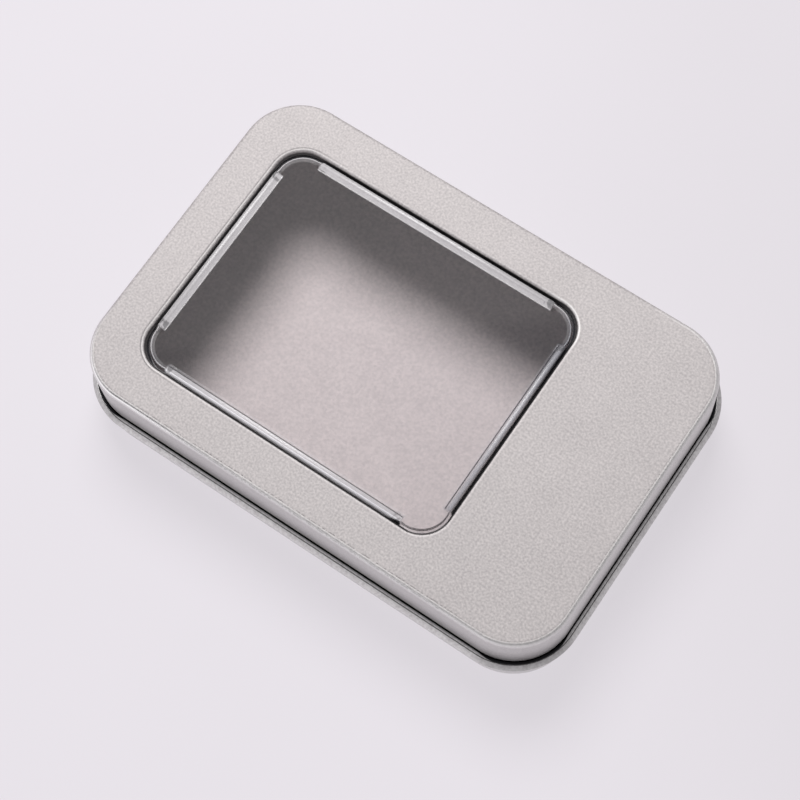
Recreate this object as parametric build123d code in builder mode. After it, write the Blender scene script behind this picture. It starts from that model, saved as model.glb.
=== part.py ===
from build123d import *
import os
from math import cos, hypot, radians, sin

# A small rectangular slip-lid tin with a clear window in its lid, in millimetres.
# The origin is the centre of the footprint, on the surface that the tin stands on.
# +X runs along the length towards the blank end of the lid, and +Z is up.

# Closed tin, measured over the bead that runs round the base
tin_length = 89.0
tin_width = 61.2
tin_height = 18.0

# Tinplate sheet and clear film, and the flat strip that each bent edge starts from
sheet = 0.25
film = 0.30
edge_land = 0.5

# Base: body wall, folded bead, neck and curled rim
bottom_bend_radius = 1.5
bead_corner_radius = 11.0
bead_overhang = 1.0
bead_height = 1.0
bead_fold_share = 0.29
neck_clearance = 0.3
curl_radius = 0.55
curl_turn = 270
curl_step = 45

# Lid: top panel, skirt and hemmed edge, all set back from the bead
lid_setback = 1.4
lid_bend_radius = 0.8
skirt_depth = 9.1
skirt_gap = 0.3
rim_gap = 0.05
hem_width = 0.75
hem_height = 0.9
hem_fold_share = 0.2

# Window opening, with its edge turned down into the lid
opening_length = 56.0
opening_margin = 7.35
opening_corner_radius = 5.0
lip_flat = 0.5
lip_bend_width = 0.2
lip_bend_drop = 0.15
lip_depth = 0.9
lip_draw_in = 0.4

# Clear window: flange under the lid, raised pane and four snap bars
pane_inset = 0.75
pane_corner_radius = 4.6
pane_recess = 0.5
pane_draft = 20
flange_width = 3.0
flange_gap = 0.05
bar_bulge = 0.4
bar_foot_width = 1.15
bar_lean_in = 0.15
bar_end_slope = 1.0
bar_crest_drop = 0.02
bar_edge_radius = 0.12

# Each metal sheet is drawn by its middle line, half a sheet in from the skin
half_sheet = sheet / 2

# Heights of the joint between base and lid
skirt_bottom = tin_height - skirt_depth
bead_top = skirt_bottom - skirt_gap
bead_bottom = bead_top - bead_height
lid_underside = tin_height - sheet
rim_top = lid_underside - rim_gap

# The lid's outline lies inside the bead's, by the same amount on every side
lid_length = tin_length - 2 * lid_setback
lid_width = tin_width - 2 * lid_setback
lid_corner_radius = bead_corner_radius - lid_setback
opening_width = lid_width - 2 * opening_margin
opening_x = (opening_length - lid_length) / 2 + opening_margin

# The flange lies just under the turned-down lip, and the bars reach up to the lid's top
lip_slope_length = hypot(lip_depth - half_sheet - lip_bend_drop, lip_draw_in)
lip_bottom = tin_height - lip_depth - half_sheet * lip_draw_in / lip_slope_length
flange_top = lip_bottom - flange_gap
flange_bottom = flange_top - film
pane_top = tin_height - pane_recess
pane_length = opening_length - 2 * pane_inset
pane_width = opening_width - 2 * pane_inset
bar_top = tin_height - bar_crest_drop


def outline_path(length, width, radius, center_x=0.0):
    """Closed rounded rectangle, made of its half on the +Y side and that half's mirror image."""
    right = center_x + length / 2
    left = center_x - length / 2
    far = width / 2
    with BuildLine() as path:
        FilletPolyline((right, 0), (right, far), (left, far), (left, 0), radius=radius)
        mirror(about=Plane.XZ)
    return path.wire()


# Base shell: floor, drawn wall, folded bead, neck and curled rim
bead_x = tin_length / 2 - half_sheet
wall_x = bead_x - bead_overhang
neck_x = bead_x - lid_setback - hem_width - neck_clearance
floor_x = wall_x - bottom_bend_radius - edge_land
floor_setback = tin_length / 2 - floor_x

bead_low = bead_bottom + half_sheet
bead_high = bead_top - half_sheet
bead_fold = bead_height * bead_fold_share
bead_points = [
    (wall_x, bead_low),
    (bead_x - bead_fold, bead_low),
    (bead_x, bead_low + bead_fold),
    (bead_x, bead_high - bead_fold),
    (bead_x - bead_fold, bead_high),
    (neck_x, bead_high),
]

curl_path_radius = curl_radius - half_sheet
curl_corner_radius = curl_path_radius / cos(radians(curl_step / 2))
curl_x = neck_x - curl_path_radius
curl_z = rim_top - curl_radius
curl_points = []
for turn in range(0, curl_turn, curl_step):
    corner = radians(turn + curl_step / 2)
    curl_points.append((curl_x + curl_corner_radius * cos(corner), curl_z + curl_corner_radius * sin(corner)))
base_folds = len(bead_points) + len(curl_points) - 1

with BuildPart() as base_shell:
    with BuildSketch(Plane.XZ) as base_section:
        with BuildLine() as base_line:
            FilletPolyline(
                (floor_x, half_sheet),
                (wall_x, half_sheet),
                *bead_points,
                *curl_points,
                radius=[bottom_bend_radius - half_sheet] + [0] * base_folds,
            )
        trace(line_width=sheet)
    sweep(path=outline_path(tin_length, tin_width, bead_corner_radius))

    with BuildSketch(Plane.XY) as floor_outline:
        RectangleRounded(
            tin_length - 2 * floor_setback,
            tin_width - 2 * floor_setback,
            bead_corner_radius - floor_setback,
        )
    extrude(amount=sheet)

base_shell.part.label = "base_shell"


# Lid shell: top panel with its window, turned-down lip, skirt and hem
skirt_x = lid_length / 2 - half_sheet
hem_x = skirt_x - hem_width + sheet
hem_low = skirt_bottom + half_sheet
hem_fold = hem_width * hem_fold_share
panel_x = skirt_x - lid_bend_radius - edge_land
panel_setback = lid_length / 2 - panel_x
panel_level = tin_height - half_sheet
hem_points = [
    (skirt_x, hem_low + hem_fold),
    (skirt_x - hem_fold, hem_low),
    (hem_x + hem_fold, hem_low),
    (hem_x, hem_low + hem_fold),
    (hem_x, skirt_bottom + hem_height),
]

with BuildPart() as lid_shell:
    with BuildSketch(Plane.XZ) as skirt_section:
        with BuildLine() as skirt_line:
            FilletPolyline(
                (panel_x, panel_level),
                (skirt_x, panel_level),
                *hem_points,
                radius=[lid_bend_radius - half_sheet] + [0] * (len(hem_points) - 1),
            )
        trace(line_width=sheet)
    sweep(path=outline_path(lid_length, lid_width, lid_corner_radius))

    with BuildSketch(Plane.XY.offset(lid_underside)) as top_panel:
        RectangleRounded(
            lid_length - 2 * panel_setback,
            lid_width - 2 * panel_setback,
            lid_corner_radius - panel_setback,
        )
        with Locations((opening_x, 0)):
            RectangleRounded(
                opening_length + 2 * lip_flat,
                opening_width + 2 * lip_flat,
                opening_corner_radius + lip_flat,
                mode=Mode.SUBTRACT,
            )
    extrude(amount=sheet)

    lip_x = opening_x + opening_length / 2 + half_sheet
    with BuildSketch(Plane.XZ) as lip_section:
        with BuildLine() as lip_line:
            Polyline(
                (lip_x - half_sheet + lip_flat, panel_level),
                (lip_x + lip_bend_width, panel_level),
                (lip_x, panel_level - lip_bend_drop),
                (lip_x - lip_draw_in, tin_height - lip_depth),
            )
        trace(line_width=sheet)
    sweep(path=outline_path(opening_length, opening_width, opening_corner_radius, opening_x))

lid_shell.part.label = "lid_shell"


def bar_levels(side, run, skin):
    """Foot, shoulder and crest of a snap bar, each drawn in from the bar's surface by skin."""
    rise_share = (pane_top - flange_bottom) / (bar_top - flange_bottom)
    shoulder_bulge = bar_bulge * rise_share
    levels = [
        (flange_bottom, run, 0, bar_foot_width),
        (pane_top - skin, run, shoulder_bulge, bar_foot_width + shoulder_bulge),
        (bar_top - skin, run - 2 * bar_end_slope, bar_bulge, bar_foot_width + bar_bulge - bar_lean_in),
    ]
    faces = []
    for height, length, bulge, width in levels:
        with BuildSketch(side.offset(height)) as level:
            with Locations((0, bulge - width / 2)):
                Rectangle(length - 2 * skin, width - 2 * skin)
        faces.append(level.sketch.face())
    return faces


# Each bar runs along the straight part of one side, and its own +Y axis points out of the window
long_run = pane_length - 2 * pane_corner_radius
short_run = pane_width - 2 * pane_corner_radius
bar_sides = [
    (Plane((opening_x, pane_width / 2, 0), x_dir=(1, 0, 0), z_dir=(0, 0, 1)), long_run),
    (Plane((opening_x, -pane_width / 2, 0), x_dir=(-1, 0, 0), z_dir=(0, 0, 1)), long_run),
    (Plane((opening_x + pane_length / 2, 0, 0), x_dir=(0, -1, 0), z_dir=(0, 0, 1)), short_run),
    (Plane((opening_x - pane_length / 2, 0, 0), x_dir=(0, 1, 0), z_dir=(0, 0, 1)), short_run),
]

# Clear window: its bars bulge over the lip and keep it in the lid, and it is hollow underneath
with BuildPart() as window_pane:
    with BuildSketch(Plane.XY.offset(flange_bottom)) as flange_outline:
        with Locations((opening_x, 0)):
            RectangleRounded(
                opening_length + 2 * flange_width,
                opening_width + 2 * flange_width,
                opening_corner_radius + flange_width,
            )
    extrude(amount=film)

    with BuildSketch(Plane.XY.offset(flange_bottom)) as pane_outline:
        with Locations((opening_x, 0)):
            RectangleRounded(pane_length, pane_width, pane_corner_radius)
    extrude(amount=pane_top - flange_bottom, taper=pane_draft)
    for side, run in bar_sides:
        loft(sections=bar_levels(side, run, 0), ruled=True)
    fillet(window_pane.edges().group_by(Axis.Z)[-1], bar_edge_radius)

    with BuildSketch(Plane.XY.offset(flange_bottom)) as pane_hollow:
        with Locations((opening_x, 0)):
            RectangleRounded(pane_length - 2 * film, pane_width - 2 * film, pane_corner_radius - film)
    extrude(amount=pane_top - film - flange_bottom, taper=pane_draft, mode=Mode.SUBTRACT)
    for side, run in bar_sides:
        loft(sections=bar_levels(side, run, film), ruled=True, mode=Mode.SUBTRACT)

window_pane.part.label = "window_pane"


os.makedirs("parts", exist_ok=True)
for piece in (base_shell, lid_shell, window_pane):
    export_step(piece.part, f"parts/{piece.part.label}.step")
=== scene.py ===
from math import radians, tan

import bmesh
import bpy
from mathutils import Matrix, Quaternion, Vector


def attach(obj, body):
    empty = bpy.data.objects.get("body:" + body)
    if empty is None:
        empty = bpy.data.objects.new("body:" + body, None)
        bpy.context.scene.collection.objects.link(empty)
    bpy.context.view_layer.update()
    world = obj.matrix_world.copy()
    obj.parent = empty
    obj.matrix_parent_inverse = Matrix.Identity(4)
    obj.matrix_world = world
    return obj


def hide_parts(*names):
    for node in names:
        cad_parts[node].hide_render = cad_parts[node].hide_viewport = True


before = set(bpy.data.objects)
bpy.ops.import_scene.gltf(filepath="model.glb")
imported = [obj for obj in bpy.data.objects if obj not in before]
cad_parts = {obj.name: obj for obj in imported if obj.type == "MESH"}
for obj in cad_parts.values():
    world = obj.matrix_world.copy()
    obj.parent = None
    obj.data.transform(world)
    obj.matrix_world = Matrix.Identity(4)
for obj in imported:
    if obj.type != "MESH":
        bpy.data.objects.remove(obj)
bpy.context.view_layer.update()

mm = 0.001

# Lengths in the dictionaries below are in millimetres. A Range is where a mask starts and where it is full,
# as a share of the way from the middle to the side, or of a noise's height. A Fade is the same in
# millimetres. Shares and darknesses run from 0 to 1.

making = {
    "weld": 0.001,          # points closer than this become one
    "sameHeight": 0.01,
    "cutSegments": 2,
    "cutAngle": 40,         # degrees
}


class Wire:
    # One value on its way through a material's nodes, so that masks can be written as sums
    def __init__(self, finish, socket):
        self.finish = finish
        self.socket = socket

    def math(self, operation, *others):
        terms = dict(enumerate((self, *others)))
        return self.finish.node("ShaderNodeMath", {"operation": operation}, terms)

    def __add__(self, other):
        return self.math("ADD", other)

    def __sub__(self, other):
        return self.math("SUBTRACT", other)

    def __rsub__(self, other):
        return self.finish.node("ShaderNodeMath", {"operation": "SUBTRACT"}, {0: other, 1: self})

    def __mul__(self, other):
        return self.math("MULTIPLY", other)

    def __truediv__(self, other):
        return self.math("DIVIDE", other)

    def __pow__(self, other):
        return self.math("POWER", other)

    def __abs__(self):
        return self.math("ABSOLUTE")

    __radd__ = __add__
    __rmul__ = __mul__

    def atLeast(self, other):
        return self.math("MAXIMUM", other)

    def atMost(self, other):
        return self.math("MINIMUM", other)

    def clamped(self):
        return self.atLeast(0.0).atMost(1.0)

    def line(self, place, width):
        # 1 on a line at this place in millimetres, 0 from half the width on either side
        return (1 - abs(self - place * mm) / (width / 2 * mm)).clamped()

    def step(self, low, high):
        # 0 below low, 1 above high, smooth between
        return self.finish.node("ShaderNodeMapRange", {"interpolation_type": "SMOOTHSTEP"},
                                {"Value": self, "From Min": low, "From Max": high})

    def fade(self, low, high, start=0.0):
        # The same in millimetres, counted from start
        return self.step((start + low) * mm, (start + high) * mm)


class Finish:
    # A material, or the world, and the few node recipes that the tin's surfaces share
    def __init__(self, name, owners=bpy.data.materials, place="Object"):
        self.owner = owners.new(name)
        self.owner.use_nodes = True
        self.tree = self.owner.node_tree
        self.tree.nodes.clear()
        self.place = self.node("ShaderNodeTexCoord", output=place)

    def node(self, kind, settings=None, inputs=None, output=0):
        made = self.tree.nodes.new(kind)
        for name, setting in (settings or {}).items():
            setattr(made, name, setting)
        for name, value in (inputs or {}).items():
            if isinstance(value, Wire):
                self.tree.links.new(value.socket, made.inputs[name])
            else:
                made.inputs[name].default_value = value
        return None if output is None else Wire(self, made.outputs[output])

    def axis(self, letter):
        return self.node("ShaderNodeSeparateXYZ", {}, {"Vector": self.place}, letter)

    def noise(self, size, detail):
        # size is the width of one blotch or grain
        return self.node("ShaderNodeTexNoise", {},
                         {"Vector": self.place, "Scale": 1 / (size * mm), "Detail": detail}, "Fac")

    def blend(self, factor, first, second):
        return self.node("ShaderNodeMix", {"data_type": "RGBA"}, {0: factor, 6: first, 7: second}, 2)

    def pastStraights(self, length, width, corner, centre=0.0):
        # How far a point lies past the end of a rounded rectangle's straight sides, along X and along Y
        return (abs(self.axis("X") - centre * mm) - (length / 2 - corner) * mm,
                abs(self.axis("Y")) - (width / 2 - corner) * mm)

    def intoCorner(self, *outline):
        # How far a point lies past the end of its straight side, which is above 0 only in the corners
        across, along = self.pastStraights(*outline)
        return across.atMost(along)

    def inset(self, length, width, corner, centre=0.0):
        # How far a point lies inside a rounded rectangle, in metres
        across, along = self.pastStraights(length, width, corner, centre)
        fromCorner = (across.atLeast(0.0) ** 2 + along.atLeast(0.0) ** 2) ** 0.5
        return corner * mm - fromCorner - across.atLeast(along).atMost(0.0)

    def end(self, surface, output="ShaderNodeOutputMaterial"):
        self.node(output, {}, {"Surface": surface}, None)
        return self.owner


def foldedLine(points, side):
    # A sheet's section. Each point is its inset from the side and its height, and where the sheet bends
    # there, the bend's radius and segments.
    shape = bmesh.new()
    verts = [shape.verts.new(((side - inset) * mm, 0, height * mm)) for inset, height, *bend in points]
    for first, second in zip(verts, verts[1:]):
        shape.edges.new((first, second))
    for place, (inset, height, *bend) in enumerate(points):
        if bend:
            radius, segments = bend
            before, here, after = (Vector(points[place + shift][:2]) for shift in (-1, 0, 1))
            angle = (here - before).angle(after - here)
            bmesh.ops.bevel(shape, geom=[verts[place]], offset=radius * tan(angle / 2) * mm,
                            offset_type="OFFSET", segments=segments, profile=0.5, affect="VERTICES",
                            material=-1)
    return shape


def pull(shape, edges, step):
    # Drags a chain of edges along a straight side and gives back the chain at the far end
    made = bmesh.ops.extrude_edge_only(shape, edges=edges)["geom"]
    verts = [part for part in made if isinstance(part, bmesh.types.BMVert)]
    bmesh.ops.translate(shape, verts=verts, vec=[move * mm for move in step])
    moved = set(verts)
    return [part for part in made if isinstance(part, bmesh.types.BMEdge) and moved.issuperset(part.verts)]


def turn(shape, edges, centre, steps):
    # Swings a chain of edges a quarter turn round a corner's centre
    verts = list({vert for edge in edges for vert in edge.verts})
    made = bmesh.ops.spin(shape, geom=verts + edges, cent=(centre[0] * mm, centre[1] * mm, 0), axis=(0, 0, 1),
                          dvec=(0, 0, 0), angle=radians(90), steps=steps, use_merge=False,
                          use_normal_flip=False, use_duplicate=False)["geom_last"]
    return [part for part in made if isinstance(part, bmesh.types.BMEdge)]


def mirrorQuarter(shape):
    # One quarter becomes the whole ring
    for axis in "XY":
        bmesh.ops.mirror(shape, geom=shape.verts[:] + shape.edges[:] + shape.faces[:], matrix=Matrix(),
                         merge_dist=making["weld"] * mm, axis=axis)
    bmesh.ops.remove_doubles(shape, verts=shape.verts[:], dist=making["weld"] * mm)


def sheetRing(points, length, width, corner, steps):
    # The section swept round a rounded rectangle
    shape = foldedLine(points, length / 2)
    chain = pull(shape, shape.edges[:], (0, width / 2 - corner, 0))
    chain = turn(shape, chain, (length / 2 - corner, width / 2 - corner), steps)
    pull(shape, chain, (corner - length / 2, 0, 0))
    mirrorQuarter(shape)
    return shape


def addTo(shape, other, move):
    # Joins another shape in, moved along X
    bmesh.ops.translate(other, verts=other.verts[:], vec=(move * mm, 0, 0))
    passing = bpy.data.meshes.new("passing")
    other.to_mesh(passing)
    other.free()
    shape.from_mesh(passing)
    bpy.data.meshes.remove(passing)


def rimEdges(shape, height):
    # The open edges that lie at one height
    return [edge for edge in shape.edges if edge.is_boundary
            and all(abs(vert.co.z - height * mm) < making["sameHeight"] * mm for vert in edge.verts)]


def faceOut(shape, up):
    # Turns all faces outwards. The face that is largest from above tells which way that is.
    bmesh.ops.recalc_face_normals(shape, faces=shape.faces[:])
    shape.normal_update()
    level = max(shape.faces, key=lambda face: face.calc_area() * abs(face.normal.z))
    if (level.normal.z > 0) != up:
        bmesh.ops.reverse_faces(shape, faces=shape.faces[:])


def thicken(piece, thickness, bevel):
    # Gives the skin its sheet on the inner side, which takes the piece's second material where it has one
    wall = piece.modifiers.new("sheet", "SOLIDIFY")
    wall.thickness = thickness * mm
    wall.offset = -1
    wall.use_even_offset = True
    wall.use_quality_normals = True
    wall.material_offset = len(piece.data.materials) - 1
    edge = piece.modifiers.new("cutEdge", "BEVEL")
    edge.width = bevel * mm
    edge.segments = making["cutSegments"]
    edge.limit_method = "ANGLE"
    edge.angle_limit = radians(making["cutAngle"])


def asPiece(name, shape, materials, body, node):
    mesh = bpy.data.meshes.new(name)
    shape.to_mesh(mesh)
    shape.free()
    for face in mesh.polygons:
        face.use_smooth = True
    for material in materials:
        mesh.materials.append(material)
    piece = bpy.data.objects.new(name, mesh)
    bpy.context.scene.collection.objects.link(piece)
    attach(piece, body)
    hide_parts(node)
    return piece


# Tinplate

tinplate = {
    "colour": (0.62, 0.59, 0.583, 1),
    "darkColour": (0.37, 0.35, 0.35, 1),
    "drawnAndHighlightColour": (0.792, 0.784, 0.773, 1),    # where drawing has burnished the sheet, and for painted highlights on the lid's bend and lip
    # the black that painted shade darkens the metal towards, in creases, trenches, gaps and corners
    "paintedShadeColour": (0.02, 0.02, 0.022, 1),
    "grain": 0.36,
    "insideGrain": 0.50,
    "grainDetail": 2.0,
    "grainRange": (0.16, 0.84),
    "mottle": 5.0,
    "mottleDetail": 3.0,
    "mottleShare": 0.2,
    "palest": 0.9,
    "panelRough": 0.75,
    "lipRough": 0.68,
    "edgeRough": 0.50,
    "wallRough": 0.45,
    "shinyRough": 0.12,
    "insideRough": 0.72,
    "grainRough": 0.08,         # how much rougher a pale grain is than a dark one
    "insideContrast": 0.85,
    "insideTint": (1.0, 0.951, 0.968),
    "bump": 0.008,
    "creaseDepth": 50.0,        # as a multiple of the bump
}


def tinted(colour, tint):
    return [part * share for part, share in zip(colour, (*tint, 1))]


def tinplateFinish(finish, roughness, contrast, tint=(1, 1, 1), drawnAndHighlight=0.0, dark=0.0, crease=0.0, speckle=0.1,
                   cell="grain"):
    # Sandy satin metal. Its values are numbers, or wires where they change over the piece: dark 1 is black,
    # as painted shade, the drawn share brings in the colour that also paints highlights, and crease 1 is the
    # bottom of a groove.
    grain = finish.noise(tinplate[cell], tinplate["grainDetail"]).step(*tinplate["grainRange"])
    mottle = finish.noise(tinplate["mottle"], tinplate["mottleDetail"])
    shade = (grain * contrast + mottle * tinplate["mottleShare"] + (tinplate["palest"] - contrast)).clamped()
    darkSand = tinted(tinplate["darkColour"], tint)
    sandy = finish.blend(shade, darkSand, tinted(tinplate["colour"], tint))
    # The burnished colour, which the lid also uses for its painted highlights
    burnishAndHighlight = finish.blend(grain * speckle + (1 - speckle), darkSand, tinplate["drawnAndHighlightColour"])
    # Painted shade darkens the colour towards black where dark is 1
    colour = finish.blend(dark, finish.blend(drawnAndHighlight, sandy, burnishAndHighlight), tinplate["paintedShadeColour"])
    rough = (grain - 0.5) * tinplate["grainRough"] + roughness
    height = grain - crease * tinplate["creaseDepth"]
    normal = finish.node("ShaderNodeBump", {}, {"Strength": 1.0, "Distance": tinplate["bump"] * mm,
                                                "Height": height})
    metal = finish.node("ShaderNodeBsdfPrincipled", {}, {"Base Color": colour, "Metallic": 1.0,
                                                         "Roughness": rough, "Normal": normal})
    return finish.end(metal)


def insideFinish(name):
    return tinplateFinish(Finish(name), tinplate["insideRough"], tinplate["insideContrast"],
                          tinplate["insideTint"], cell="insideGrain")


# Base: body, folded bead, neck and curled rim

tinBase = {
    "length": 89.0,
    "width": 61.2,
    "corner": 11.3,
    "cornerSteps": 24,
    "sheet": 0.25,
    "cutBevel": 0.03,
    "bodyInset": 1.0,
    "bottomBend": 1.5,
    "bottomSteps": 8,
    "land": 0.5,                # flat strip that the floor's bend starts from
    "beadLow": 7.6,
    "beadHigh": 8.6,
    "footBend": 0.3,
    "footSteps": 4,
    "beadNose": 0.25,
    "noseSteps": 6,
    "noseHigh": 7.82,           # the crown slopes from here up to crownHigh
    "crownHigh": 8.42,
    "crownInset": 0.74,
    "ledgeInset": 0.82,
    "ledgeLow": 8.34,
    "trenchInset": 1.29,
    "trenchLow": 7.95,
    "trenchBend": 0.08,
    "trenchLipBend": 0.12,
    "trenchSteps": 3,
    "neckInset": 2.45,
    "rimTop": 17.7,
    "curl": 0.55,
    "curlShare": 0.999,         # of the curl's radius, so that two of its bends never quite meet
    "curlSteps": 6,
    "contrast": 0.6,
    "wallSpeckle": 0.2,
    "beadSpeckle": 0.4,         # how much more the bead has than the wall
    "beadFootFade": (0.1, 0.2),
    "beadTopFade": (0.0, 0.3),
    "cornerFade": (-1.0, 3.0),
    "cornerTrench": 0.5,        # how much wider the trench's shadow is round the corners
    "cornerDark": 0.25,
    "trenchFade": (-0.02, 0.1),
    "foldWidth": 0.22,
    "foldDark": 0.35,
    "crownFade": 0.05,
    "ledgeDark": 0.03,
}


def baseFinish(size):
    # Painted shade: dark in the trench beside the skirt, and a little in the fold between the bead's crown
    # and its ledge, on the ledge and round the corners
    finish = Finish("baseOutside")
    outline = (size["length"], size["width"], size["corner"])
    edge = finish.inset(*outline)
    height = finish.axis("Z")
    onBead = height.fade(*size["beadFootFade"], size["beadLow"])
    onBead = onBead * (1 - height.fade(*size["beadTopFade"], size["beadHigh"]))
    inCorner = finish.intoCorner(*outline).fade(*size["cornerFade"])
    wider = edge + inCorner * (size["cornerTrench"] * mm)
    trench = wider.fade(*size["trenchFade"], size["trenchInset"])
    fold = edge.line(size["ledgeInset"], size["foldWidth"]) * size["foldDark"]
    ledge = edge.fade(size["crownInset"] - size["crownFade"], size["ledgeInset"]) * size["ledgeDark"]
    # All of these darknesses are painted shade
    dark = trench.atLeast(fold).atLeast(ledge).atLeast(inCorner * size["cornerDark"]) * onBead
    speckle = onBead * size["beadSpeckle"] + size["wallSpeckle"]
    return tinplateFinish(finish, tinplate["wallRough"], size["contrast"], drawnAndHighlight=1.0, dark=dark,
                          speckle=speckle, cell="insideGrain")


def makeBase(size):
    body, neck, curl = size["bodyInset"], size["neckInset"], size["curl"]
    nose = (size["beadNose"], size["noseSteps"])
    tight = (size["trenchBend"], size["trenchSteps"])
    curled = (curl * size["curlShare"], size["curlSteps"])
    section = [
        (body + size["bottomBend"] + size["land"], 0),
        (body, 0, size["bottomBend"], size["bottomSteps"]),
        (body, size["beadLow"], size["footBend"], size["footSteps"]),
        (0, size["beadLow"], *nose),
        (0, size["noseHigh"], *nose),
        (size["crownInset"], size["crownHigh"], *tight),
        (size["ledgeInset"], size["ledgeLow"], *tight),
        (size["trenchInset"], size["beadHigh"], size["trenchLipBend"], size["trenchSteps"]),
        (size["trenchInset"], size["trenchLow"], *tight),
        (neck, size["trenchLow"], *tight),
        (neck, size["rimTop"], *curled),
        (neck + 2 * curl, size["rimTop"], *curled),
        (neck + 2 * curl, size["rimTop"] - 2 * curl, *curled),
        (neck + curl, size["rimTop"] - 2 * curl),
    ]
    shape = sheetRing(section, size["length"], size["width"], size["corner"], size["cornerSteps"])
    bmesh.ops.contextual_create(shape, geom=rimEdges(shape, 0), mat_nr=0, use_smooth=True)
    faceOut(shape, up=False)
    piece = asPiece("tinBase", shape, [baseFinish(size), insideFinish("baseInside")], "base", "base_shell")
    thicken(piece, size["sheet"], size["cutBevel"])
    print("base made:", len(piece.data.polygons), "faces")


makeBase(tinBase)


# Lid: panel with its window, turned-down lip, skirt and hem

tinLid = {
    "length": 86.2,
    "width": 58.4,
    "corner": 9.6,
    "cornerSteps": 24,
    "sheet": 0.25,
    "cutBevel": 0.03,
    "top": 18.0,
    "bend": 0.8,
    "bendSteps": 10,
    "land": 0.5,                # flat strip that the edge's bend starts from
    "skirtLow": 8.9,
    "hemWidth": 0.75,
    "hemHeight": 0.9,
    "hemBend": 0.2,
    "hemSteps": 5,
    "windowLength": 56.0,
    "windowWidth": 43.7,
    "windowX": -7.75,
    "windowCorner": 5.0,
    "lipFlat": 0.6,
    "lipBend": 0.48,
    "lipSteps": 6,
    "lipDepth": 0.9,
    "lipDrawIn": 0.4,
    "contrast": 1.0,
    # Where each finish, painted highlight and painted shade lies
    "skirtShare": 0.6,          # of the bend, down which the skirt's finish starts
    "skirtFade": (0.1, 0.2),
    "highlightSidesRange": (-0.5, 0.1),
    "bendFade": (-0.35, 0.0),
    "lipPlace": -0.15,
    "lipWidth": 0.5,
    "leftCornerRange": (1.3, 1.7),
    "leftCornerFade": (0.4, 0.6),
    "farRightFade": (18.0, 24.0),
    "leftFade": (-34.0, -24.0),
    "nearRange": (0.9, 0.95),
    "nearEndFade": (-6.0, -1.0),
    "windowCornerFade": (-0.5, 1.5),
    # How far drawing has burnished the skirt, and how strong the painted highlights on the bend and lip are
    "skirtDrawn": 0.5,
    "bendHighlightShare": 0.7,
    "leftCornerHighlight": 0.3,     # on top of the bend's
    "lipHighlightShare": 0.1,
    "farRightHighlight": 0.8,       # on top of the lip's
    "leftHighlight": 0.3,           # as a share of the far right's
    # Creases, darkened with painted shade
    "crease": 0.84,
    "creaseWidth": 0.3,
    "outerCrease": 0.28,
    "outerWidth": 0.26,
    "dot": 0.45,
    "dotRange": (0.3, 0.6),
    "dash": 0.5,
    "dashRange": (0.46, 0.56),
    "creaseDetail": 1.0,
    "dashDepth": 1.9,           # on the near side, as a multiple of the other sides'
    "outerDepth": 1.7,
    "windowCrease": -0.62,
    "windowCreaseWidth": 0.36,
    "windowCreaseDepth": 0.35,
    "leftCreaseDepth": 1.9,     # on top of the window crease's
    "leftCreaseShift": 0.18,
    "creaseDark": 0.18,
    "creaseGroove": 0.03,
    # Painted shade
    "lipDark": 0.94,
    "lipDarkLeft": 0.76,
    "windowCornerShare": 0.8,   # of the way from lipDark to lipDarkLeft
    "lipFade": (0.03, 0.2),
    "highlightSidesLipShift": 0.14,
    "leftLipShift": 0.06,
    "footShadeHigh": 15.5,
    "footDark": 0.36,
}


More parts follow.
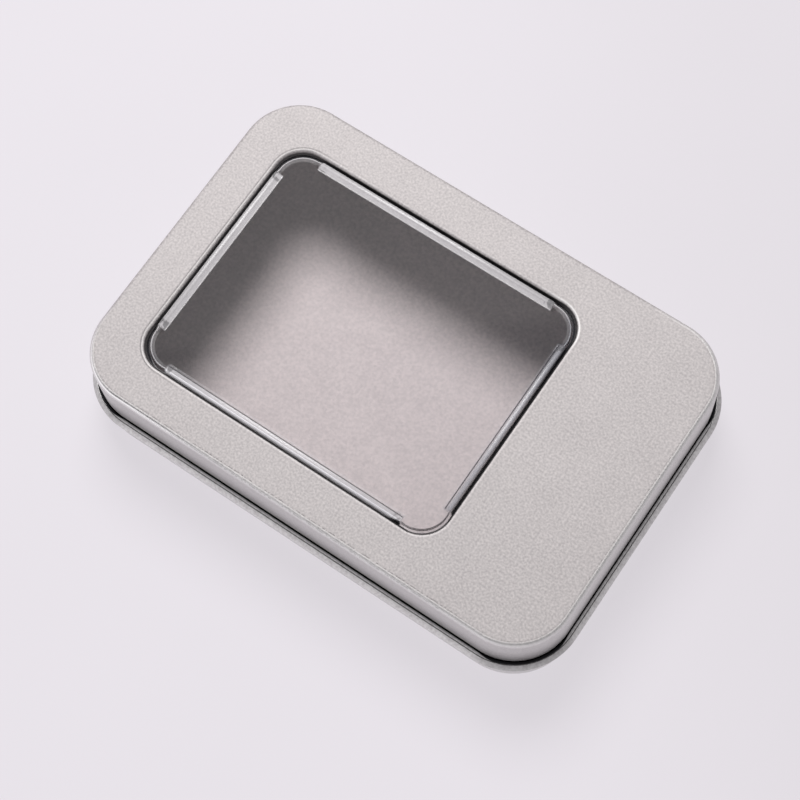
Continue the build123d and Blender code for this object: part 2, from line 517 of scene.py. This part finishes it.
def lidFinish(size):
    # The panel is sandy, and the drawn edges and the skirt are smoother, the skirt paler. The bend and lip
    # carry painted highlights. Fine creases run along the edges, darkened with painted shade, and painted
    # shade darkens the lip's wall and the skirt's foot.
    finish = Finish("lidOutside")
    outline = (size["length"], size["width"], size["corner"])
    opening = (size["windowLength"], size["windowWidth"], size["windowCorner"], size["windowX"])
    edge, window = finish.inset(*outline), finish.inset(*opening)
    x, y, height = (finish.axis(letter) for letter in "XYZ")
    toRight = x / (size["length"] / 2 * mm)
    toNear = y / (-size["width"] / 2 * mm)

    skirt = 1 - height.fade(-size["bend"], -size["bend"] * size["skirtShare"], size["top"])
    # The near and right sides, where the bend gets a painted highlight and painted shade in its crease, and
    # the lip's painted shade starts nearer the edge
    burnishAndHighlight = (toRight + toNear).step(*size["highlightSidesRange"])
    bend = (1 - edge.fade(*size["bendFade"], size["crease"])) * burnishAndHighlight
    lip = window.line(size["lipPlace"], size["lipWidth"])
    leftCorner = (toNear - toRight).step(*size["leftCornerRange"])
    leftCorner = leftCorner * (1 - edge.fade(*size["leftCornerFade"])) * (1 - skirt)
    farEdge = y * (size["windowLength"] / size["windowWidth"])
    farRight = (x - size["windowX"] * mm).atMost(farEdge).fade(*size["farRightFade"])
    leftward = 1 - x.fade(*size["leftFade"])
    nearSide = toNear.step(*size["nearRange"])
    nearSide = nearSide * (1 - finish.intoCorner(*outline).fade(*size["nearEndFade"]))
    inCorner = finish.intoCorner(*opening).fade(*size["windowCornerFade"])

    roughness = tinplate["panelRough"] - bend * (tinplate["panelRough"] - tinplate["edgeRough"])
    roughness -= skirt * bend * (tinplate["edgeRough"] - tinplate["wallRough"])
    roughness -= lip * (tinplate["panelRough"] - tinplate["lipRough"])
    roughness -= leftCorner * (tinplate["edgeRough"] - tinplate["shinyRough"])

    # The skirt is paler where drawing burnished it. The paler bend, strongest at the left corner, and the
    # paler lip towards the far right and the left are painted highlights.
    drawnSkirt = skirt * size["skirtDrawn"]
    bendHighlight = bend * (1 - drawnSkirt) * (leftCorner * size["leftCornerHighlight"] + size["bendHighlightShare"])
    lipHighlight = farRight.atLeast(leftward * size["leftHighlight"]) * size["farRightHighlight"] + size["lipHighlightShare"]
    drawnAndHighlight = drawnSkirt.atLeast(lip * lipHighlight).atLeast(bendHighlight)

    # Painted shade in the creases: dotted, dashed on the near side with a second crease near the outline
    # there, and stronger round the window's left side. The same creases also cut a shallow groove into the
    # bump.
    dots = finish.noise(size["dot"], size["creaseDetail"]).step(*size["dotRange"])
    dashes = finish.noise(size["dash"], size["creaseDetail"]).step(*size["dashRange"])
    broken = dots - nearSide * (dots - dashes * size["dashDepth"])
    creases = edge.line(size["crease"], size["creaseWidth"]) * burnishAndHighlight * broken
    outer = edge.line(size["outerCrease"], size["outerWidth"]) * (1 - dashes)
    creases = creases.atLeast(outer * nearSide * size["outerDepth"])
    around = window - leftward * (size["leftCreaseShift"] * mm)
    around = around.line(size["windowCrease"], size["windowCreaseWidth"])
    creases = creases.atLeast(around * (leftward * size["leftCreaseDepth"] + size["windowCreaseDepth"]))

    # Painted shade on the lip's wall, paler on the left and in the window's corners, and on the skirt's foot
    paler = leftward.atLeast(inCorner * size["windowCornerShare"])
    inLip = window + burnishAndHighlight * (size["highlightSidesLipShift"] * mm) - leftward * (size["leftLipShift"] * mm)
    lipDark = size["lipDark"] - paler * (size["lipDark"] - size["lipDarkLeft"])
    lipShade = inLip.fade(*size["lipFade"]) * lipDark
    footShade = (1 - height.fade(size["skirtLow"], size["footShadeHigh"])) * size["footDark"]
    footShade = footShade * (1 - edge.fade(*size["skirtFade"]))
    dark = (creases * size["creaseDark"]).atLeast(lipShade).atLeast(footShade)
    return tinplateFinish(finish, roughness, size["contrast"], drawnAndHighlight=drawnAndHighlight, dark=dark,
                          crease=creases * size["creaseGroove"])


def makeLid(size):
    hem = (size["hemBend"], size["hemSteps"])
    section = [
        (size["bend"] + size["land"], size["top"]),
        (0, size["top"], size["bend"], size["bendSteps"]),
        (0, size["skirtLow"], *hem),
        (size["hemWidth"], size["skirtLow"], *hem),
        (size["hemWidth"], size["skirtLow"] + size["hemHeight"]),
    ]
    lipSection = [
        (-size["lipFlat"], size["top"]),
        (0, size["top"], size["lipBend"], size["lipSteps"]),
        (size["lipDrawIn"], size["top"] - size["lipDepth"]),
    ]
    shape = sheetRing(section, size["length"], size["width"], size["corner"], size["cornerSteps"])
    lip = sheetRing(lipSection, size["windowLength"], size["windowWidth"], size["windowCorner"],
                    size["cornerSteps"])
    addTo(shape, lip, size["windowX"])
    bmesh.ops.triangle_fill(shape, edges=rimEdges(shape, size["top"]), use_beauty=True, use_dissolve=False,
                            normal=(0, 0, 1))
    faceOut(shape, up=True)
    piece = asPiece("tinLid", shape, [lidFinish(size), insideFinish("lidInside")], "lid", "lid_shell")
    thicken(piece, size["sheet"], size["cutBevel"])
    print("lid made:", len(piece.data.polygons), "faces")


makeLid(tinLid)


# Clear window: flange under the lid, drafted wall, raised pane and four snap bars

windowPane = {
    "length": 62.0,
    "width": 49.7,
    "corner": 8.35,
    "cornerSteps": 20,
    "film": 0.3,
    "cutBevel": 0.06,
    "centreX": -7.75,
    "flangeTop": 16.98,
    "paneTop": 17.5,
    "crest": 17.98,
    "footInset": 3.62,
    "bulge": (3.48, 17.42),     # inset and height of the bars' widest line
    "barOuter": 3.85,
    "barInner": 4.45,
    "barRound": 0.07,
    "barShoulder": 5.0,
    "endSlope": 1.0,
    "wallInset": 3.85,
    "cornerRises": (0.4, 0.85),     # shares of the corner wall's height
    "cornerTurn": 0.1,
    "flatInset": 5.6,
    "milky": (0.66, 0.64, 0.65, 1),
    # the milky colour as painted shade on the shaded sides, and as painted light on the near bar's outer
    # slope
    "milkyPaintedShade": (0.36, 0.36, 0.39, 1),
    "milkyPaintedLight": (0.95, 0.94, 0.96, 1),
    # the colour of the painted shade in the gap, the lines and the crumples
    "filmShadeColour": (0.012, 0.012, 0.016, 1),
    "rough": 0.22,
    "clear": 0.03,              # share of light that the flat film stops
    # Where each finish, painted highlight and painted shade lies
    "shadedRange": (-0.1, 0.1),
    "nearBarRange": (0.0, 0.1),
    "nearCornerRange": (1.2, 1.6),
    "leftEndRange": (-0.95, -0.85),
    "nearShift": 0.3,           # how far the near bar's finish moves outwards
    "barFade": (-0.35, 0.0),
    "crestFade": (0.0, 0.15),
    "sharpFade": (0.0, 0.1),
    "wallFade": (-0.1, 0.1),
    "crestHalfFade": (0.3, 0.5),
    # Milky parts, with painted highlights, painted light and painted shade
    "crestHaze": 0.52,
    "wallHaze": 0.66,
    # painted light on the near bar's outer slope, and a painted highlight along the foot of the bar's wall
    "litSlopeHaze": 0.85,
    "footLineHighlight": 0.78,
    "lineWidth": 0.3,
    "blotch": 0.5,
    "blotchDetail": 1.0,
    "blotchContrast": 0.4,
    "shadedWallClear": 0.85,
    "shadedCrestClear": 0.3,
    "nearLit": 0.75,
    # a painted highlight line on the rim in the corners
    "rimPlace": 3.99,
    "rimWidth": 0.26,
    "rimHighlight": 0.85,
    "cornerHaze": 0.06,
    # Painted shade: the gap beside the lip, dark lines and the crumples at the bars' ends
    "gapFade": (-0.32, -0.1),
    "gapShift": 0.7,            # as a share of nearShift
    "gapDark": 0.9,
    "wedgeRange": (0.62, 0.73),
    "wedgeWidth": 0.42,
    "nearCornerClear": 0.85,
    "cornerClear": 0.2,
    "leftEndClear": 0.2,
    "innerLine": 4.73,
    "innerLineWidth": 0.3,
    "innerLineShift": 0.55,     # as a share of nearShift
    "cornerLines": (3.85, 3.32),
    "cornerLineWidth": 0.22,
    "lineDark": 0.9,
    "crumple": 0.8,
    "crumpleDetail": 0.0,
    "crumpleRange": (0.46, 0.54),
    "crumplePlace": -1.3,       # from the end of the straight side
    "crumpleLength": 2.4,
    "crumpleEndRange": (0.2, 0.5),
    "crumpleDark": 0.35,
    "darkGain": 1.5,
}


def paneHaze(size, finish, edge, masks):
    # How milky the film is over the bars, with a painted highlight along the wall's foot, painted shade that
    # clears part of it on the near and right sides, and painted light on the near bar's outer slope; and the
    # painted highlight line on the rim that it turns over in the corners
    bar, onBar, crest, shaded, nearBar, litSlope = masks
    wall = 1 - edge.fade(*size["wallFade"], size["barShoulder"])
    haze = crest * (size["crestHaze"] - size["wallHaze"]) + wall * size["wallHaze"]
    haze = haze.atLeast(edge.line(size["barShoulder"], size["lineWidth"]) * size["footLineHighlight"]) * onBar
    haze = haze * ((finish.noise(size["blotch"], size["blotchDetail"]) - 0.5) * size["blotchContrast"] + 1)
    innerWall = edge.fade(*size["sharpFade"], size["barInner"])
    haze = haze * (1 - shaded * innerWall * size["shadedWallClear"])
    innerCrest = edge.fade(*size["crestHalfFade"], size["barOuter"])
    haze = haze * (1 - shaded * (1 - nearBar) * innerCrest * size["shadedCrestClear"])
    haze = haze.atLeast(litSlope * onBar * size["litSlopeHaze"])
    rim = edge.line(size["rimPlace"], size["rimWidth"]) * size["rimHighlight"]
    pastWall = edge.fade(*size["sharpFade"], size["wallInset"])
    rim = rim.atLeast(pastWall * crest * size["cornerHaze"]) * (1 - bar)
    return haze, rim, wall


def paneFinish(size):
    # Clear film: milky where it is drawn over the bars, with painted highlights and shade on them, and
    # painted shade where its wall stands in the gap beside the lip
    finish = Finish("clearFilm")
    outline = (size["length"], size["width"], size["corner"], size["centreX"])
    edge = finish.inset(*outline)
    pastBar = finish.intoCorner(*outline)
    toRight = (finish.axis("X") - size["centreX"] * mm) / (size["length"] / 2 * mm)
    toNear = finish.axis("Y") / (-size["width"] / 2 * mm)

    bar = 1 - pastBar.fade(-size["endSlope"], -size["endSlope"] / 2)
    shaded = (toRight + toNear).step(*size["shadedRange"])
    nearBar = (toNear - abs(toRight)).step(*size["nearBarRange"])
    nearCorner = (toRight + toNear).step(*size["nearCornerRange"]) * (1 - bar)
    shift = nearBar * (size["nearShift"] * mm)
    onBar = bar * (edge + shift).fade(*size["barFade"], size["barOuter"])
    crest = 1 - edge.fade(*size["crestFade"], size["barInner"])
    litSlope = nearBar * (1 - edge.fade(*size["crestFade"], size["barOuter"]))
    haze, rim, wall = paneHaze(size, finish, edge, (bar, onBar, crest, shaded, nearBar, litSlope))

    # Painted shade: the film is dark where its wall stands in the gap beside the lip, in thin lines inside
    # the bars on the near and right sides and in the near corner, and in the crumples at the bars' ends
    wedge = nearBar * toRight.step(*size["wedgeRange"]) * (size["wedgeWidth"] * mm)
    gap = 1 - (edge + shift * size["gapShift"] - wedge).fade(*size["gapFade"], size["wallInset"])
    gap = gap * size["gapDark"] * (1 - nearCorner * size["nearCornerClear"])
    gap = gap * (1 - (1 - bar) * size["cornerClear"])
    gap = gap * (1 - (1 - toRight.step(*size["leftEndRange"])) * size["leftEndClear"])
    inner = (edge + shift * size["innerLineShift"]).line(size["innerLine"], size["innerLineWidth"])
    first, second = (edge.line(place, size["cornerLineWidth"]) for place in size["cornerLines"])
    lines = (inner * shaded * bar).atLeast(first.atLeast(second) * nearCorner)
    crumple = finish.noise(size["crumple"], size["crumpleDetail"]).step(*size["crumpleRange"])
    barEnd = pastBar.line(size["crumplePlace"], size["crumpleLength"]).step(*size["crumpleEndRange"])
    crumple = crumple * barEnd
    dark = gap.atLeast(lines * size["lineDark"]).atLeast(crumple * onBar * wall * size["crumpleDark"])

    # Painted shade makes the milky colour darker on the near and right sides, less on the near bar, and
    # painted light makes it paler on the near bar's outer slope
    milky = finish.blend(shaded * (1 - nearBar * size["nearLit"]), size["milky"], size["milkyPaintedShade"])
    milky = finish.blend(litSlope, milky, size["milkyPaintedLight"])
    colour = finish.blend((dark * size["darkGain"]).clamped(), milky, size["filmShadeColour"])
    alpha = (haze.atLeast(rim * (1 - nearCorner)).atLeast(dark) + size["clear"]).clamped()
    film = finish.node("ShaderNodeBsdfPrincipled", {}, {"Base Color": colour, "Roughness": size["rough"],
                                                        "Alpha": alpha})
    return finish.end(film)


def reshape(edges, old, new, side, reach):
    # Moves a chain's points from one section to the other. The side is 0 on the right and 1 at the far side,
    # and reach is how far it lies from the middle.
    verts = {vert for edge in edges for vert in edge.verts}
    for (oldInset, oldHeight), (newInset, newHeight) in zip(old, new):
        place = Vector(((reach - oldInset) * mm, oldHeight * mm))
        moved = min(verts, key=lambda vert: (Vector((vert.co[side], vert.co.z)) - place).length)
        verts.discard(moved)
        moved.co[side] += (oldInset - newInset) * mm
        moved.co.z += (newHeight - oldHeight) * mm


def makePane(size):
    foot, wall, flat = size["footInset"], size["wallInset"], size["paneTop"]
    outer, inner, shoulder = size["barOuter"], size["barInner"], size["barShoulder"]
    crest, soft = size["crest"], size["barRound"]
    bar = [
        (0, size["flangeTop"]),
        (foot, size["flangeTop"]),
        size["bulge"],
        (outer - soft, crest - soft),
        (outer + soft, crest),
        (inner - soft, crest),
        (inner + soft, crest - soft),
        (shoulder - soft, flat + soft / 2),
        (shoulder + soft, flat),
        (size["flatInset"], flat),
    ]
    # In the corners the film rises from the flange to the flat pane, with as many points as the bar has
    rise = flat - size["flangeTop"]
    corner = bar[:2]
    for share in size["cornerRises"]:
        corner += [(foot + (wall - foot) * share, size["flangeTop"] + rise * share)]
    corner += [(wall + size["cornerTurn"], flat)]
    corner += [(inset, flat) for inset, height in bar[5:]]

    halfLength, halfWidth = size["length"] / 2, size["width"] / 2
    straightX, straightY = halfLength - size["corner"], halfWidth - size["corner"]
    shape = foldedLine(bar, halfLength)
    chain = pull(shape, shape.edges[:], (0, straightY - size["endSlope"], 0))
    chain = pull(shape, chain, (0, size["endSlope"], 0))
    reshape(chain, bar, corner, 0, halfLength)
    chain = turn(shape, chain, (straightX, straightY), size["cornerSteps"])
    chain = pull(shape, chain, (-size["endSlope"], 0, 0))
    reshape(chain, corner, bar, 1, halfWidth)
    pull(shape, chain, (size["endSlope"] - straightX, 0, 0))
    mirrorQuarter(shape)
    bmesh.ops.contextual_create(shape, geom=rimEdges(shape, flat), mat_nr=0, use_smooth=True)
    faceOut(shape, up=True)
    bmesh.ops.translate(shape, verts=shape.verts[:], vec=(size["centreX"] * mm, 0, 0))
    piece = asPiece("windowPane", shape, [paneFinish(size)], "lid", "window_pane")
    thicken(piece, size["film"], size["cutBevel"])
    print("pane made:", len(piece.data.polygons), "faces")


makePane(windowPane)


# Floor, light and camera

stage = {
    "floorSize": 1200.0,
    "floorColour": (0.80, 0.765, 0.81, 1),
    "floorMottleAndShadow": (0.735, 0.702, 0.74, 1),
    "floorShadowFade": 110.0,         # painted shadow: the floor is a little dimmer past this far towards +X and +Y
    "floorMottle": 60.0,
    "mottleDetail": 3.0,
    "mottleShare": 0.3,
    "floorRough": 0.7,
    "floorGlow": 0.80,          # share of its own pale colour in what the camera and the metal see of it
    "keyFrom": (-0.305, 0.372, 0.88),
    "keyDistance": 600.0,
    "keySize": 344.0,
    "keyWatts": 3.6,
    "roomColour": (0.975, 0.952, 0.99, 1),
    "horizon": 0.95,
    "brighterSide": (-0.6, -0.8),
    "sideShare": 0.3,           # how much brighter that side's horizon is, and dimmer the opposite one
    "zenith": 0.11,
    "dimsRange": (0.3, 0.85),   # as the sine of the height above the horizon
}


def makeFloor(size):
    shape = bmesh.new()
    bmesh.ops.create_grid(shape, x_segments=1, y_segments=1, size=size["floorSize"] / 2 * mm)
    mesh = bpy.data.meshes.new("tableTop")
    shape.to_mesh(mesh)
    shape.free()
    finish = Finish("paleTable")
    mottle = finish.noise(size["floorMottle"], size["mottleDetail"])
    # Painted shadow: the floor darkens towards +X and +Y, and is also mottled at random
    aside = (finish.axis("X") + finish.axis("Y")).fade(0.0, size["floorShadowFade"])
    shade = mottle * size["mottleShare"] + aside * (1 - size["mottleShare"])
    colour = finish.blend(shade, size["floorColour"], size["floorMottleAndShadow"])
    matte = finish.node("ShaderNodeBsdfPrincipled", {},
                        {"Base Color": colour, "Roughness": size["floorRough"]})
    glow = finish.node("ShaderNodeEmission", {}, {"Color": colour})
    seen = finish.node("ShaderNodeLightPath", output="Is Camera Ray")
    seen += finish.node("ShaderNodeLightPath", output="Is Glossy Ray")
    seen += finish.node("ShaderNodeLightPath", output="Is Transmission Ray")
    mixed = finish.node("ShaderNodeMixShader", {}, {0: seen.clamped() * size["floorGlow"], 1: matte, 2: glow})
    mesh.materials.append(finish.end(mixed))
    table = bpy.data.objects.new("tableTop", mesh)
    bpy.context.scene.collection.objects.link(table)
    print("floor made")


def makeLight(size):
    lamp = bpy.data.lights.new("windowLight", "AREA")
    lamp.shape = "DISK"
    lamp.size = size["keySize"] * mm
    lamp.energy = size["keyWatts"]
    key = bpy.data.objects.new("windowLight", lamp)
    aim = Vector(size["keyFrom"]).normalized()
    key.location = aim * size["keyDistance"] * mm
    key.rotation_euler = (-aim).to_track_quat("-Z", "Y").to_euler()
    bpy.context.scene.collection.objects.link(key)
    # A pale room, dimmer overhead
    room = Finish("softRoom", bpy.data.worlds, "Generated")
    overhead = room.axis("Z").step(*size["dimsRange"])
    unseen = 1 - room.node("ShaderNodeLightPath", output="Is Camera Ray")
    aside = room.axis("X") * size["brighterSide"][0] + room.axis("Y") * size["brighterSide"][1]
    around = (aside * unseen * size["sideShare"] + 1) * size["horizon"]
    strength = around - overhead * unseen * (around - size["zenith"])
    back = room.node("ShaderNodeBackground", {}, {"Color": size["roomColour"], "Strength": strength})
    bpy.context.scene.world = room.end(back, "ShaderNodeOutputWorld")
    print("light made")


makeFloor(stage)
makeLight(stage)

view = {
    "place": (71.0, -82.79, 301.86),
    "aim": (3.336, -5.296, 18.0),
    "roll": -7.19,              # degrees
    "lens": 89.48,
    "frameWidth": 36.0,
    "clipStart": 10.0,
}


def makeCamera(size):
    lens = bpy.data.cameras.new("photoCamera")
    lens.lens = size["lens"]
    lens.sensor_width = size["frameWidth"]
    lens.clip_start = size["clipStart"] * mm
    camera = bpy.data.objects.new("photoCamera", lens)
    place, aim = Vector(size["place"]) * mm, Vector(size["aim"]) * mm
    camera.location = place
    look = (aim - place).to_track_quat("-Z", "Y") @ Quaternion((0, 0, 1), radians(size["roll"]))
    camera.rotation_euler = look.to_euler()
    bpy.context.scene.collection.objects.link(camera)
    bpy.context.scene.camera = camera
    print("camera made")


makeCamera(view)
bpy.context.scene.view_settings.view_transform = "Standard"
